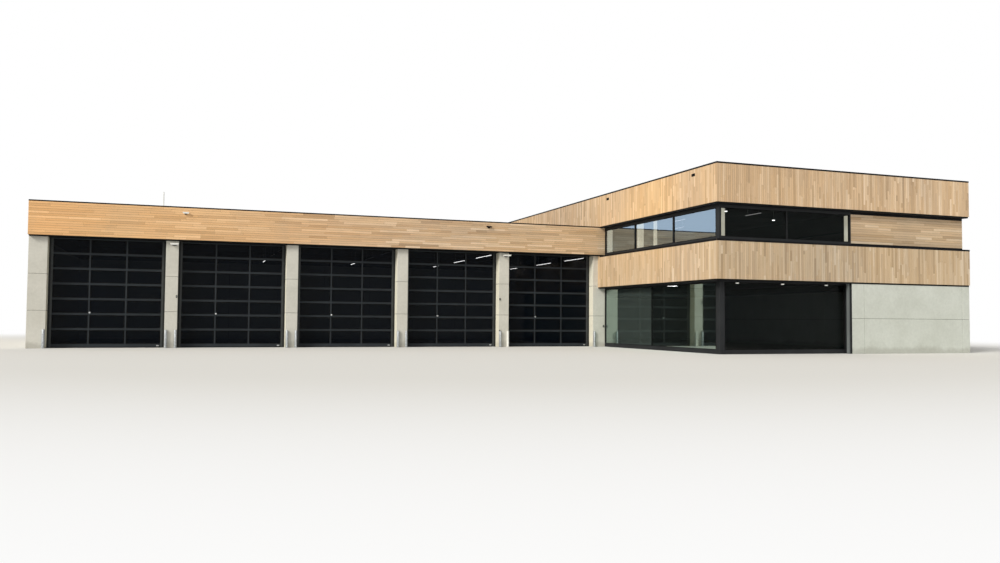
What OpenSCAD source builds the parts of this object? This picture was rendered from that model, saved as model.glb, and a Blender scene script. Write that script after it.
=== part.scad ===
// Fire station: a single storey vehicle hall with glazed sectional doors beside a two storey block.
// Millimetres, +Z up, the front faces -Y. The origin is at the bottom centre of the whole building.

/* [Whole building] */
// Depth from the front of the block to the rear walls
total_depth = 26000; // [22000:100:32000]
// Thickness of the outer walls
wall_t = 350; // [250:10:450]
// Thickness of the ground floor slabs
floor_t = 50; // [30:5:100]
// Thickness of the roof slabs
roof_t = 300; // [200:10:400]
// Height of the metal coping on the parapets
coping_h = 50; // [30:5:80]
// Overhang of the coping past the wall faces
coping_over = 15; // [5:1:30]

/* [Vehicle hall] */
// Number of vehicle doors
door_count = 5; // [3:1:6]
// Clear width between two piers
door_w = 4460; // [3800:10:5000]
// Width of a middle pier
pier_w = 500; // [400:10:700]
// Width of the two end piers
end_pier_w = 690; // [550:10:900]
// Depth of the piers from front to back
pier_d = 450; // [350:10:600]
// Height of the piers
pier_h = 4500; // [4000:10:5200]
// Distance from the front of the block back to the front of the piers
hall_setback = 10340; // [8000:10:12000]
// Height of the shadow gap between the piers and the timber fascia
fascia_gap = 45; // [30:5:80]
// Height of the timber fascia with its coping
fascia_h = 1400; // [1200:10:1700]
// Distance that the fascia stands in front of the piers
fascia_proud = 185; // [100:5:300]
// Drop from the top of the fascia to the hall roof
hall_parapet = 400; // [300:10:600]

/* [Sectional doors] */
// Height of one door section
section_h = 620; // [560:5:650]
// Height of the lowest door section
low_section_h = 770; // [650:5:800]
// Number of door sections above the lowest one
upper_sections = 6; // [5:1:7]
// Number of glazed panes across a door
door_panes = 3; // [2:1:5]
// Depth of the door frames from front to back
leaf_t = 50; // [40:5:80]
// Width of a rail or stile at the edge of a section
rail_w = 50; // [35:5:70]
// Width of the upright bars between panes
mullion_w = 75; // [50:5:100]
// Height of the bottom rail of a door
foot_rail_h = 170; // [120:5:220]
// Width of the groove where two sections meet
joint_w = 12; // [6:1:20]
// Depth of the groove where two sections meet
joint_d = 8; // [4:1:15]
// Thickness of the glass sheet behind the door frames
door_glass_t = 20; // [10:1:30]
// Width of the guide track that shows beside a door
track_show = 116; // [80:2:160]
// Width of the guide track that is hidden behind a pier
track_hidden = 60; // [30:5:100]
// Depth that a door reaches into the groove of its track
track_lap = 20; // [10:1:30]
// Running clearance around the door in its track
track_clear = 0.3; // [0.3:0.1:3]
// Wall of the track profile in front of and behind the door
track_wall = 12; // [6:1:20]

/* [Block] */
// Width of the block
block_w = 12890; // [11000:10:16000]
// Height from the floor to the underside of the lower timber band
showroom_h = 2940; // [2700:10:3300]
// Height of the lower timber band
lower_band_h = 1555; // [1300:5:1800]
// Height of the top timber band with its coping
top_band_h = 1570; // [1300:5:1800]
// Thickness of the timber bands
band_t = 470; // [460:5:600]
// Distance from the timber faces back to the middle of the showroom glass
glass_back = 420; // [400:5:430]
// Distance from the timber faces back to the middle of the strip windows at the left and front
strip_back = 320; // [300:5:400]
// Distance from the band back to the boards of the upper storey at the front
recess_front = 305; // [200:5:380]
// Distance from the band back to the upper storey walls on the other sides
recess_side = 80; // [50:5:150]
// Distance from the front band back to the concrete wall
concrete_back = 30; // [10:5:60]
// Thickness of the dark soffit plates under the bands
soffit_t = 60; // [20:5:60]
// Distance from the band faces back to the soffit plates
soffit_in = 20; // [10:5:40]
// Thickness of the first floor
first_floor_t = 350; // [250:10:450]
// Height of the first floor surface above the ground floor
first_floor_z = 3600; // [3400:10:3900]
// Drop from the top of the top band to the block roof
block_parapet = 365; // [300:5:500]
// Distance from the left face of the block to the concrete front wall
concrete_x = 6500; // [5500:10:8000]
// Distance from the left face of the block to the upper storey boards
boards_x = 6700; // [5900:10:8400]

/* [Windows] */
// Depth of the window frames from front to back
frame_d = 80; // [50:5:100]
// Width of the window frame uprights
frame_w = 60; // [40:5:90]
// Height of the bottom rail of the showroom windows
showroom_foot = 180; // [100:5:250]
// Height of the top rail of the showroom windows
showroom_head = 60; // [40:5:120]
// Height of the bottom rail of the strip windows
strip_foot = 140; // [80:5:180]
// Height of the top rail of the strip windows
strip_head = 130; // [60:5:180]
// Distance between the uprights of the left strip window
left_pane_w = 3380; // [2800:10:3600]
// Distance between the uprights of the front strip window
front_pane_w = 3170; // [2600:10:3400]
// Width of the corner post of the strip windows, seen from the front
strip_post_w = 90; // [60:5:150]
// Depth of the corner post of the strip windows
strip_post_d = 170; // [80:5:250]
// Distance from the front of the block to the joint in the left showroom glass
glass_joint_y = 5710; // [3000:10:8000]
// Width of the joint between two sheets of showroom glass
glass_joint = 10; // [6:1:20]
// Thickness of the window glass
pane_t = 24; // [12:1:40]
// Thickness of the metal that lines the end of the concrete wall
lining_t = 20; // [10:1:40]
// Width of the dark column at the showroom corner, seen from the front
corner_column_w = 160; // [100:10:300]
// Depth of the dark column at the showroom corner
corner_column_d = 230; // [100:10:300]
// Width of the grey steel column beside the concrete wall
steel_column_w = 100; // [60:5:150]
// Depth of the grey steel column
steel_column_d = 110; // [60:5:200]
// Distance from the front of the block back to the grey steel column
steel_column_back = 115; // [50:5:170]
// Length of the strip windows in the right and rear walls
plain_window_l = 6600; // [3300:100:8000]
// Side of the two thick columns inside the upper storey
inner_column_w = 225; // [150:5:350]
// Distance from the left strip window in to the columns inside the upper storey
inner_column_back = 495; // [300:5:900]
// Distance from the front of the block to the first thick column
inner_column_y = 7600; // [5000:50:8000]
// Distance between the two thick columns
inner_column_step = 3200; // [2500:50:4000]
// Side of the slim columns inside the upper storey
slim_column_w = 120; // [80:5:200]
// Distance from the front of the block to the slim column beside the thick ones
slim_column_y = 6170; // [4000:10:7000]
// Distance from the front of the block to the slim columns behind the front window
front_column_y = 700; // [600:10:1200]
// Distance from the left face of the block to the first slim column behind the front window
front_column_x = 715; // [600:5:1500]
// Distance between the slim columns behind the front window
front_column_step = 6140; // [4500:10:7000]

/* [Fittings] */
// Diameter of the guard posts
post_d = 114; // [80:2:160]
// Height of the guard posts
post_h = 760; // [600:10:1100]
// Distance from the edge of a pier in to the middle of its guard post
post_in = 60; // [57:1:120]
// Clearance between a guard post and its pier
post_gap = 0.3; // [0.1:0.1:1]
// Width of the flat lamps on the piers
lamp_w = 340; // [250:10:450]
// Distance that the flat lamps stand out from the piers
lamp_out = 340; // [200:10:400]
// Thickness of the flat lamps
lamp_t = 60; // [40:5:90]
// Height of the flat lamps above the floor
lamp_z = 4330; // [3900:10:4400]
// Width of the small floodlights on the fascia
flood_w = 260; // [180:10:350]
// Height of the small floodlights on the fascia
flood_h = 100; // [60:5:140]
// Depth of the small floodlights on the fascia
flood_d = 130; // [80:5:200]
// Height of the middle of the floodlights above the floor
flood_z = 5665; // [5200:5:5750]
// Diameter of the round lights under the lower band
downlight_d = 180; // [120:5:240]
// Height of the round lights under the lower band
downlight_h = 60; // [30:5:100]
// Distance from the band face back to the middle of the round lights
downlight_back = 210; // [150:5:300]
// Distance from the left face of the block to the first round light
downlight_x = 1040; // [700:10:1500]
// Distance between the round lights
downlight_step = 2150; // [1500:10:2300]
// Distance from the left end of the hall to the first floodlight
first_flood_x = 5770; // [1000:10:9000]
// Distance from the left end of the hall to the second floodlight
second_flood_x = 19290; // [12000:10:22000]
// Distance from the front of the block to the first overflow outlet
outlet_y = 1650; // [1000:50:3000]
// Distance between the overflow outlets
outlet_step = 7620; // [4000:10:9000]
// Width of the overflow outlets in the top band
outlet_w = 250; // [150:10:350]
// Height of the overflow outlets in the top band
outlet_h = 110; // [80:5:160]
// Distance that the overflow outlets stand out
outlet_out = 20; // [10:1:60]
// Wall of the overflow outlets
outlet_wall = 12; // [6:1:20]
// Height of the middle of the outlets above the floor
outlet_z = 7220; // [7150:5:7300]
// Height of the mast above the hall roof
mast_h = 1360; // [800:10:2000]
// Diameter of the mast
mast_d = 40; // [25:1:60]
// Diameter of the foot plate of the mast
mast_foot_d = 200; // [120:10:300]
// Thickness of the foot plate of the mast
mast_foot_t = 20; // [10:1:40]
// Distance from the left end of the hall to the mast
mast_x = 4950; // [2000:10:12000]
// Distance from the front of the piers back to the mast
mast_back = 2660; // [1500:10:8000]

/* [Hidden] */
$fn = 48;

// Widths and places along X
hall_w = 2 * end_pier_w + door_count * door_w + (door_count - 1) * pier_w - glass_back;
total_w = hall_w + block_w;
hall_x = -total_w / 2;
block_x = hall_x + hall_w;
right_x = block_x + block_w;
glass_x = block_x + glass_back;
strip_x = block_x + strip_back;
divide_x = glass_x - wall_t;

// Places along Y
front_y = -total_depth / 2;
rear_y = front_y + total_depth;
glass_y = front_y + glass_back;
strip_y = front_y + strip_back;
pier_y = front_y + hall_setback;
pier_back_y = pier_y + pier_d;
fascia_y = pier_y - fascia_proud;
leaf_y = pier_back_y + track_wall + track_clear;

// Heights
fascia_z = pier_h + fascia_gap;
fascia_top = fascia_z + fascia_h;
fascia_body_h = fascia_h - coping_h;
hall_roof_z = fascia_top - hall_parapet - roof_t;
lower_top = showroom_h + lower_band_h;
strip_h = fascia_top - lower_top;
strip_frame_h = strip_h - soffit_t;
block_top = fascia_top + top_band_h;
block_roof_z = block_top - block_parapet - roof_t;
showroom_clear = showroom_h - soffit_t;

// Door leaf and track
leaf_show_w = door_w - 2 * track_show;
leaf_w = leaf_show_w + 2 * track_lap;
leaf_h = low_section_h + upper_sections * section_h + rail_w;
groove_w = leaf_t + 2 * track_clear;
track_d = groove_w + 2 * track_wall;
track_w = track_show + track_hidden;
floor_gap = 10;
floor_y = pier_back_y + track_d + floor_gap;
bay = door_w + pier_w;

DOORS = [for (i = [1:door_count]) str("door_", i)];

function door_x(i) = hall_x + end_pier_w + i * bay;
function pier_left(i) = i == 0 ? hall_x : hall_x + end_pier_w + door_w + (i - 1) * bay;
function pier_width(i) = i == 0 || i == door_count ? end_pier_w : pier_w;
function pier_right(i) = pier_left(i) + pier_width(i);

// A block between two corners
module box(low, high) {
    translate(low)
        cube(high - low);
}

// A flat plate of the outline given, from height z up
module plate(z, h) {
    translate([0, 0, z])
        linear_extrude(height = h)
            children();
}

// A wall panel seen from the front: an outline in X and Z, pushed back along +Y
module upright(y, t) {
    translate([0, y + t, 0])
        rotate([90, 0, 0])
            linear_extrude(height = t)
                children();
}

// The same for a wall that runs along Y: an outline in Y and Z, pushed along +X
module upright_side(x, t) {
    translate([x, 0, 0])
        rotate([90, 0, 90])
            linear_extrude(height = t)
                children();
}

module rect(x0, y0, x1, y1) {
    translate([x0, y0])
        square([x1 - x0, y1 - y0]);
}

// Ground floor slabs of the hall and of the block, inside the doors, the glass and the walls
module ground_floors() {
    color("darkgray")
        plate(0, floor_t) {
            rect(hall_x + wall_t, floor_y, divide_x, rear_y - wall_t);
            difference() {
                rect(glass_x + frame_d / 2, glass_y + frame_d / 2, right_x - wall_t,
                     rear_y - wall_t);
                rect(column_lo_x, column_lo_y, showroom_front_a, showroom_left_a);
            }
        }
}

// First floor, carried by the lower band and the walls
module block_first_floor() {
    color("gainsboro")
        plate(first_floor_z - first_floor_t, first_floor_t)
            difference() {
                rect(glass_x, front_y + band_t, right_x - band_t, rear_y - band_t);
                rect(block_x, front_y, block_x + band_t, pier_y);
            }
}

module hall_roof() {
    color("dimgray")
        box([hall_x + wall_t, fascia_y + wall_t, hall_roof_z],
            [divide_x, rear_y - wall_t, hall_roof_z + roof_t]);
}

module block_roof() {
    color("dimgray")
        box([block_x + band_t, front_y + band_t, block_roof_z],
            [right_x - band_t, rear_y - band_t, block_roof_z + roof_t]);
}

// Precast concrete piers between the doors
module piers() {
    color("antiquewhite")
        for (i = [0:door_count])
            box([pier_left(i), pier_y, 0], [pier_right(i), pier_back_y, pier_h]);
}

// Timber fascia over the doors, up to the glass of the block
module hall_fascia() {
    color("burlywood")
        box([hall_x, fascia_y, fascia_z], [glass_x, fascia_y + wall_t, fascia_z + fascia_body_h]);
}

module hall_side_fascia() {
    color("burlywood")
        box([hall_x, fascia_y + wall_t, fascia_z],
            [hall_x + wall_t, rear_y - wall_t, fascia_z + fascia_body_h]);
}

module hall_rear_fascia() {
    color("burlywood")
        box([hall_x, rear_y - wall_t, fascia_z], [divide_x, rear_y, fascia_z + fascia_body_h]);
}

// Dark soffit that fills the gap between the piers and the fascia
module door_head() {
    color("darkslategray")
        box([hall_x + soffit_in, fascia_y + soffit_in, pier_h], [glass_x, pier_back_y, fascia_z]);
}

// Metal coping along the front, the left side and the rear of the hall
module hall_coping() {
    inner = wall_t + coping_over;
    color("darkslategray")
        plate(fascia_top - coping_h, coping_h) {
            difference() {
                rect(hall_x - coping_over, fascia_y - coping_over, divide_x, rear_y + coping_over);
                rect(hall_x + inner, fascia_y + inner, divide_x + 1, rear_y - inner);
                rect(block_x + soffit_in, fascia_y - coping_over - 1, divide_x + 1, fascia_y);
            }
            rect(divide_x, fascia_y, glass_x, fascia_y + wall_t);
        }
}

// Grooved guide tracks at both sides of each door
module track_outline() {
    groove_y = track_wall;
    difference() {
        square([track_w, track_d]);
        translate([track_w - track_lap - track_clear, groove_y])
            square([track_lap + track_clear + 1, groove_w]);
    }
}

module door_tracks() {
    color("darkslategray")
        for (i = [0:door_count - 1]) {
            translate([door_x(i) - track_hidden, pier_back_y, 0])
                linear_extrude(height = pier_h)
                    track_outline();
            translate([door_x(i) + door_w + track_hidden, pier_back_y, 0])
                mirror([1, 0, 0])
                    linear_extrude(height = pier_h)
                        track_outline();
        }
}

// Openings of one door in X and Z, from its left edge and its foot
function section_foot(s) = s == 0 ? foot_rail_h : low_section_h + (s - 1) * section_h + rail_w;
function section_head(s) = low_section_h + s * section_h - rail_w;

module door_outline() {
    edge = track_lap + rail_w;
    pane_w = (leaf_w - 2 * edge - (door_panes - 1) * mullion_w) / door_panes;
    difference() {
        square([leaf_w, leaf_h]);
        for (s = [0:upper_sections])
            for (p = [0:door_panes - 1])
                translate([edge + p * (pane_w + mullion_w), section_foot(s)])
                    square([pane_w, section_head(s) - section_foot(s)]);
    }
}

// One glazed sectional door: all its section frames, grooved where two sections meet
module door(i) {
    x = door_x(i) + track_show - track_lap;
    color("darkslategray")
        difference() {
            translate([x, 0, 0])
                upright(leaf_y, leaf_t)
                    door_outline();
            for (s = [0:upper_sections - 1])
                translate([x - 1, leaf_y - 1, low_section_h + s * section_h - joint_w / 2])
                    cube([leaf_w + 2, joint_d + 1, joint_w]);
        }
}

// One sheet of glass behind the frames of each door
module door_glass() {
    color("lightslategray", 0.5)
        for (i = [0:door_count - 1])
            box([door_x(i) + track_show + track_clear, leaf_y + leaf_t, foot_rail_h / 2],
                [door_x(i) + door_w - track_show - track_clear, leaf_y + leaf_t + door_glass_t,
                 leaf_h - rail_w / 2]);
}

module hall_left_wall() {
    color("antiquewhite")
        box([hall_x, pier_back_y, 0], [hall_x + wall_t, rear_y - wall_t, fascia_z]);
}

module hall_rear_wall() {
    color("antiquewhite")
        box([hall_x, rear_y - wall_t, 0], [divide_x, rear_y, fascia_z]);
}

// Wall between the hall and the block: it stands behind the last pier and the fascia
module dividing_wall() {
    color("antiquewhite")
        upright_side(divide_x, wall_t) {
            rect(pier_back_y, 0, rear_y, fascia_top);
            rect(fascia_y + wall_t, fascia_z, rear_y, fascia_top);
        }
}

// Lower band at the front and the rear
module lower_band_ends() {
    color("burlywood") {
        box([block_x, front_y, showroom_h], [right_x, front_y + band_t, lower_top]);
        box([glass_x, rear_y - band_t, showroom_h], [right_x, rear_y, lower_top]);
    }
}

// Lower band along the left side up to the hall, and along the right side
module lower_band_sides() {
    color("burlywood") {
        box([block_x, front_y + band_t, showroom_h], [block_x + band_t, pier_y, lower_top]);
        box([right_x - band_t, front_y + band_t, showroom_h],
            [right_x, rear_y - band_t, lower_top]);
    }
}

// Top band at the front and the rear
module top_band_ends() {
    color("burlywood") {
        box([block_x, front_y, fascia_top], [right_x, front_y + band_t, block_top - coping_h]);
        box([block_x, rear_y - band_t, fascia_top], [right_x, rear_y, block_top - coping_h]);
    }
}

module top_band_sides() {
    color("burlywood")
        for (x = [block_x, right_x - band_t])
            box([x, front_y + band_t, fascia_top],
                [x + band_t, rear_y - band_t, block_top - coping_h]);
}

// Dark plates under the lower band and under the top band
module soffit_ring(left_end) {
    difference() {
        rect(block_x + soffit_in, front_y + soffit_in, right_x - soffit_in, rear_y - soffit_in);
        rect(block_x + band_t, front_y + band_t, right_x - band_t, rear_y - band_t);
        rect(block_x, left_end, block_x + band_t, rear_y);
    }
}

module soffits() {
    color("darkslategray") {
        plate(showroom_h - soffit_t, soffit_t)
            soffit_ring(pier_y);
        plate(fascia_top - soffit_t, soffit_t)
            soffit_ring(fascia_y);
    }
}

// A window frame outline with uprights at the places listed, from a to b along the wall
module frame_outline(a, b, z0, z1, foot, head, uprights) {
    difference() {
        rect(a, z0, b, z1);
        rect(a + frame_w, z0 + foot, b - frame_w, z1 - head);
    }
    for (u = uprights)
        rect(u - frame_w / 2, z0 + foot, u + frame_w / 2, z1 - head);
}

// Glass that fills the openings of such a frame
module glass_outline(a, b, z0, z1, foot, head, uprights, gap) {
    difference() {
        rect(a + frame_w, z0 + foot, b - frame_w, z1 - head);
        for (u = uprights)
            rect(u - gap / 2, z0, u + gap / 2, z1);
    }
}

strip_lo_x = strip_x - frame_d / 2;
strip_lo_y = strip_y - frame_d / 2;
strip_left_a = strip_lo_y + strip_post_d;
strip_front_a = strip_lo_x + strip_post_w - frame_w;
strip_left_uprights = [for (n = [1:2]) strip_y + n * left_pane_w];
strip_front_uprights = [strip_x + front_pane_w];

// Left strip window, from the corner post to the fascia of the hall
module strip_frame_left() {
    color("darkslategray")
        upright_side(strip_lo_x, frame_d)
            frame_outline(strip_left_a, fascia_y, lower_top, lower_top + strip_frame_h,
                          strip_foot, strip_head, strip_left_uprights);
}

// Front strip window with the corner post
module strip_frame_front() {
    color("darkslategray") {
        upright(strip_lo_y, frame_d)
            frame_outline(strip_front_a, block_x + boards_x, lower_top,
                          lower_top + strip_frame_h, strip_foot, strip_head,
                          strip_front_uprights);
        box([strip_lo_x, strip_lo_y, lower_top],
            [strip_lo_x + strip_post_w, strip_left_a, lower_top + strip_frame_h]);
    }
}

// Strip windows in the middle of the right wall and of the rear wall
upper_side_x = right_x - recess_side - wall_t;
upper_rear_y = rear_y - recess_side - wall_t;
mid_x = (block_x + right_x) / 2;
plain_a_y = -plain_window_l / 2;
plain_a_x = mid_x - plain_window_l / 2;

module plain_window_frames() {
    color("darkslategray") {
        upright_side(upper_side_x + wall_t / 2, frame_d)
            frame_outline(plain_a_y, plain_a_y + plain_window_l, lower_top,
                          lower_top + strip_frame_h, strip_foot, strip_head,
                          [plain_a_y + plain_window_l / 2]);
        upright(upper_rear_y + wall_t / 2, frame_d)
            frame_outline(plain_a_x, plain_a_x + plain_window_l, lower_top,
                          lower_top + strip_frame_h, strip_foot, strip_head,
                          [plain_a_x + plain_window_l / 2]);
    }
}

// Glass of all the strip windows
module strip_glass() {
    inset = (frame_d - pane_t) / 2;
    z1 = lower_top + strip_frame_h;
    color("lightslategray", 0.5) {
        upright_side(strip_x - pane_t / 2, pane_t)
            glass_outline(strip_left_a, fascia_y, lower_top, z1, strip_foot, strip_head,
                          strip_left_uprights, frame_w);
        upright(strip_y - pane_t / 2, pane_t)
            glass_outline(strip_front_a, block_x + boards_x, lower_top, z1, strip_foot,
                          strip_head, strip_front_uprights, frame_w);
        upright_side(upper_side_x + wall_t / 2 + inset, pane_t)
            glass_outline(plain_a_y, plain_a_y + plain_window_l, lower_top, z1, strip_foot,
                          strip_head, [plain_a_y + plain_window_l / 2], frame_w);
        upright(upper_rear_y + wall_t / 2 + inset, pane_t)
            glass_outline(plain_a_x, plain_a_x + plain_window_l, lower_top, z1, strip_foot,
                          strip_head, [plain_a_x + plain_window_l / 2], frame_w);
    }
}

// Upper storey walls between the bands, clad with level boards
upper_wall_y = front_y + recess_front;

module upper_wall_front() {
    color("tan")
        box([block_x + boards_x, upper_wall_y, lower_top],
            [right_x - recess_side, upper_wall_y + wall_t, lower_top + strip_frame_h]);
}

module upper_wall_right() {
    color("tan") {
        box([upper_side_x, upper_wall_y + wall_t, lower_top],
            [upper_side_x + wall_t, plain_a_y, lower_top + strip_frame_h]);
        box([upper_side_x, plain_a_y + plain_window_l, lower_top],
            [upper_side_x + wall_t, upper_rear_y, lower_top + strip_frame_h]);
    }
}

module upper_wall_rear() {
    color("tan") {
        box([glass_x, upper_rear_y, lower_top],
            [plain_a_x, upper_rear_y + wall_t, lower_top + strip_frame_h]);
        box([plain_a_x + plain_window_l, upper_rear_y, lower_top],
            [upper_side_x + wall_t, upper_rear_y + wall_t, lower_top + strip_frame_h]);
    }
}

// Showroom windows at the corner of the block
column_lo_x = glass_x - frame_d / 2;
column_lo_y = glass_y - frame_d / 2;
showroom_left_a = column_lo_y + corner_column_d;
showroom_front_a = column_lo_x + corner_column_w;

module showroom_frame_left() {
    color("darkslategray")
        upright_side(column_lo_x, frame_d)
            frame_outline(showroom_left_a, pier_y, 0, showroom_clear, showroom_foot,
                          showroom_head, []);
}

// Front frame with the dark metal that lines the end of the concrete wall
module showroom_frame_front() {
    end_x = block_x + concrete_x;
    color("darkslategray") {
        upright(column_lo_y, frame_d)
            frame_outline(showroom_front_a, end_x, 0, showroom_clear, showroom_foot,
                          showroom_head, []);
        box([end_x - lining_t, front_y + concrete_back, 0],
            [end_x, column_lo_y + frame_d, showroom_clear]);
    }
}

module showroom_glass() {
    color("lightslategray", 0.5) {
        upright_side(glass_x - pane_t / 2, pane_t)
            glass_outline(showroom_left_a, pier_y, 0, showroom_clear, showroom_foot,
                          showroom_head, [front_y + glass_joint_y], glass_joint);
        upright(glass_y - pane_t / 2, pane_t)
            glass_outline(showroom_front_a, block_x + concrete_x, 0, showroom_clear,
                          showroom_foot, showroom_head, [], glass_joint);
    }
}

// Dark column at the corner, and the grey column that stands in front of the end of the window
module showroom_columns() {
    grey_x = block_x + concrete_x - lining_t;
    grey_y = front_y + steel_column_back;
    color("darkslategray")
        box([column_lo_x, column_lo_y, 0], [showroom_front_a, showroom_left_a, showroom_clear]);
    color("slategray")
        box([grey_x - steel_column_w, grey_y, 0],
            [grey_x, grey_y + steel_column_d, showroom_clear]);
}

module concrete_front_wall() {
    color("antiquewhite")
        box([block_x + concrete_x, front_y + concrete_back, 0],
            [right_x, front_y + concrete_back + wall_t, showroom_clear]);
}

module block_right_wall() {
    color("antiquewhite")
        box([right_x - wall_t, front_y + concrete_back + wall_t, 0],
            [right_x, rear_y - wall_t, showroom_clear]);
}

module block_rear_wall() {
    color("antiquewhite")
        box([glass_x, rear_y - wall_t, 0], [right_x, rear_y, showroom_clear]);
}

module block_coping() {
    inner = band_t + coping_over;
    color("darkslategray")
        plate(block_top - coping_h, coping_h)
            difference() {
                rect(block_x - coping_over, front_y - coping_over,
                     right_x + coping_over, rear_y + coping_over);
                rect(block_x + inner, front_y + inner, right_x - inner, rear_y - inner);
            }
}

// Columns that show through the strip windows
module inner_column(x, y, w) {
    box([x, y, first_floor_z], [x + w, y + w, block_roof_z]);
}

module inner_columns() {
    x = strip_x + inner_column_back;
    color("ivory") {
        for (n = [0:1])
            inner_column(x, front_y + inner_column_y + n * inner_column_step, inner_column_w);
        inner_column(x, front_y + slim_column_y, slim_column_w);
        for (n = [0:1])
            inner_column(block_x + front_column_x + n * front_column_step,
                         front_y + front_column_y, slim_column_w);
    }
}

// Flat lamps on two piers, floodlights on the fascia above them, round lights under the band
module lamps() {
    color("whitesmoke") {
        for (i = [1, door_count - 1])
            box([pier_right(i) - lamp_w, pier_y - lamp_out, lamp_z],
                [pier_right(i), pier_y, lamp_z + lamp_t]);
        for (x = [hall_x + first_flood_x, hall_x + second_flood_x])
            box([x, fascia_y - flood_d, flood_z - flood_h / 2],
                [x + flood_w, fascia_y, flood_z + flood_h / 2]);
        for (n = [0:2])
            translate([block_x + downlight_x + n * downlight_step, front_y + downlight_back,
                       showroom_clear - downlight_h])
                cylinder(d = downlight_d, h = downlight_h);
    }
}

// Overflow outlets through the left side of the top band
module overflow_outlets() {
    color("black")
        for (n = [0:1])
            upright_side(block_x - outlet_out, outlet_out)
                translate([front_y + outlet_y + n * outlet_step, outlet_z])
                    difference() {
                        square([outlet_w, outlet_h], center = true);
                        square([outlet_w - 2 * outlet_wall, outlet_h - 2 * outlet_wall],
                               center = true);
                    }
}

// Guard posts in front of the pier corners beside the doors
module guard_posts() {
    y = pier_y - post_d / 2 - post_gap;
    color("lightgray")
        for (i = [0:door_count - 1]) {
            translate([door_x(i) - post_in, y, 0])
                cylinder(d = post_d, h = post_h);
            translate([door_x(i) + door_w + post_in, y, 0])
                cylinder(d = post_d, h = post_h);
        }
}

module roof_mast() {
    color("white")
        translate([hall_x + mast_x, pier_y + mast_back, hall_roof_z + roof_t]) {
            cylinder(d = mast_foot_d, h = mast_foot_t);
            cylinder(d = mast_d, h = mast_h);
        }
}

ground_floors();
block_first_floor();
hall_roof();
block_roof();
piers();
hall_fascia();
hall_side_fascia();
hall_rear_fascia();
door_head();
hall_coping();
door_tracks();
door_glass();
hall_left_wall();
hall_rear_wall();
dividing_wall();
lower_band_ends();
lower_band_sides();
top_band_ends();
top_band_sides();
soffits();
strip_frame_left();
strip_frame_front();
plain_window_frames();
strip_glass();
upper_wall_front();
upper_wall_right();
upper_wall_rear();
showroom_frame_left();
showroom_frame_front();
showroom_glass();
showroom_columns();
concrete_front_wall();
block_right_wall();
block_rear_wall();
block_coping();
inner_columns();
lamps();
overflow_outlets();
guard_posts();
roof_mast();
for (i = [1:door_count])
    door(i - 1);
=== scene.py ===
"""Looks of the fire station: boards, panels, panes and fittings around the fixed CAD model."""

import math
import random
from itertools import product

import bmesh
import bpy
from mathutils import Matrix, Vector


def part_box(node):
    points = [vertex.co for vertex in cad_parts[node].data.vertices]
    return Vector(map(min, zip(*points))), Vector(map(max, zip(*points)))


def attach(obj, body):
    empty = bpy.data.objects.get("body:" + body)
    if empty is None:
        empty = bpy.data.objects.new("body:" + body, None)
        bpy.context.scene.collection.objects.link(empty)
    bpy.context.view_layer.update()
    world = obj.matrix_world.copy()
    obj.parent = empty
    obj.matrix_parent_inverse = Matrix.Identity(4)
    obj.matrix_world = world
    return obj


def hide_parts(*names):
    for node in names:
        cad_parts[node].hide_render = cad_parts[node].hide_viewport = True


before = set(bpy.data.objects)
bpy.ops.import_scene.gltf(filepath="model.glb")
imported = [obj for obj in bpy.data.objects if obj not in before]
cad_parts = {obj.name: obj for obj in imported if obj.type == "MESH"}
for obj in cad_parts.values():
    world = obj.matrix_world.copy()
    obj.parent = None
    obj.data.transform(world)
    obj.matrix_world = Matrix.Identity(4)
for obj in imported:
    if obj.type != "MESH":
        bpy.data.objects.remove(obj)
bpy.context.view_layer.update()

X, Y, Z = Vector((1, 0, 0)), Vector((0, 1, 0)), Vector((0, 0, 1))
TINY = 0.001

# Camera, in the part's own frame
CAMERA_AT = Vector((-13.214, -41.923, 1.251))
CAMERA_YAW, CAMERA_PITCH, CAMERA_ROLL = (math.radians(a) for a in (19.90, 2.557, 0.443))
CAMERA_LENS, SENSOR_W, CLIP_END = 31.512, 36.0, 1000

# Doors and piers along the front of the hall
DOOR_COUNT, DOOR_W = 5, 4.46
PIER_W, END_PIER_W = 0.5, 0.69
PIER_JOINTS = (1.52, 3.0)
SECTION_H, LOW_SECTION_H, UPPER_SECTIONS = 0.62, 0.77, 6
FOOT_RAIL_H, RAIL_W, MULLION_W = 0.17, 0.05, 0.075
PANES = 3
TRACK_LAP = 0.02

# Timber boards
LEVEL_PITCH, UPRIGHT_PITCH = 0.098, 0.09
BOARD_GAP, UPRIGHT_GAP, END_GAP = 0.006, 0.009, 0.002
BOARD_T, BOARD_CHAMFER = 0.012, 0.002
FIRST_BOARD, SHORT_BOARD, LONG_BOARD, LAST_BOARD = 0.3, 0.5, 2.4, 0.4
JOINT_COUNTS, JOINT_RANGE = (0, 1, 1, 1, 2, 2), (0.1, 0.9)
LEVEL_SPREAD, UPRIGHT_SPREAD, GRAIN_SHIFT = 0.29, 0.25, 40

# Timber by place: painted sunlight warms the left end of the hall's front, painted shade greys
# the block low down and most at its front, it is cooler to the block's right end, and painted
# sunlight makes a warm patch on the left face of its top band
SUNLIT_END, SUNLIT_FADE, SUNLIT_BACK, SUNLIT_TINT = -1.0, 0.3, 0.3, (1.28, 1.08, 0.83, 1)
LOW_SHADE_TINT, LOW_SHADE_FADE, LOW_SHADE_BACK = (0.83, 0.89, 0.94, 1), 1.5, 0.6
BLOCK_MARGIN = 0.1
COOL_TINT = (1.04, 1.085, 1.14, 1)
SUN_PATCH_BACK, SUN_PATCH_Z, SUN_PATCH_TINT = 5.0, 6.6, (1.16, 1.06, 0.86, 1)
SUN_PATCH_NEAR, SUN_PATCH_FAR, SUN_PATCH_SHARE = 0.6, 3.4, 0.9

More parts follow.
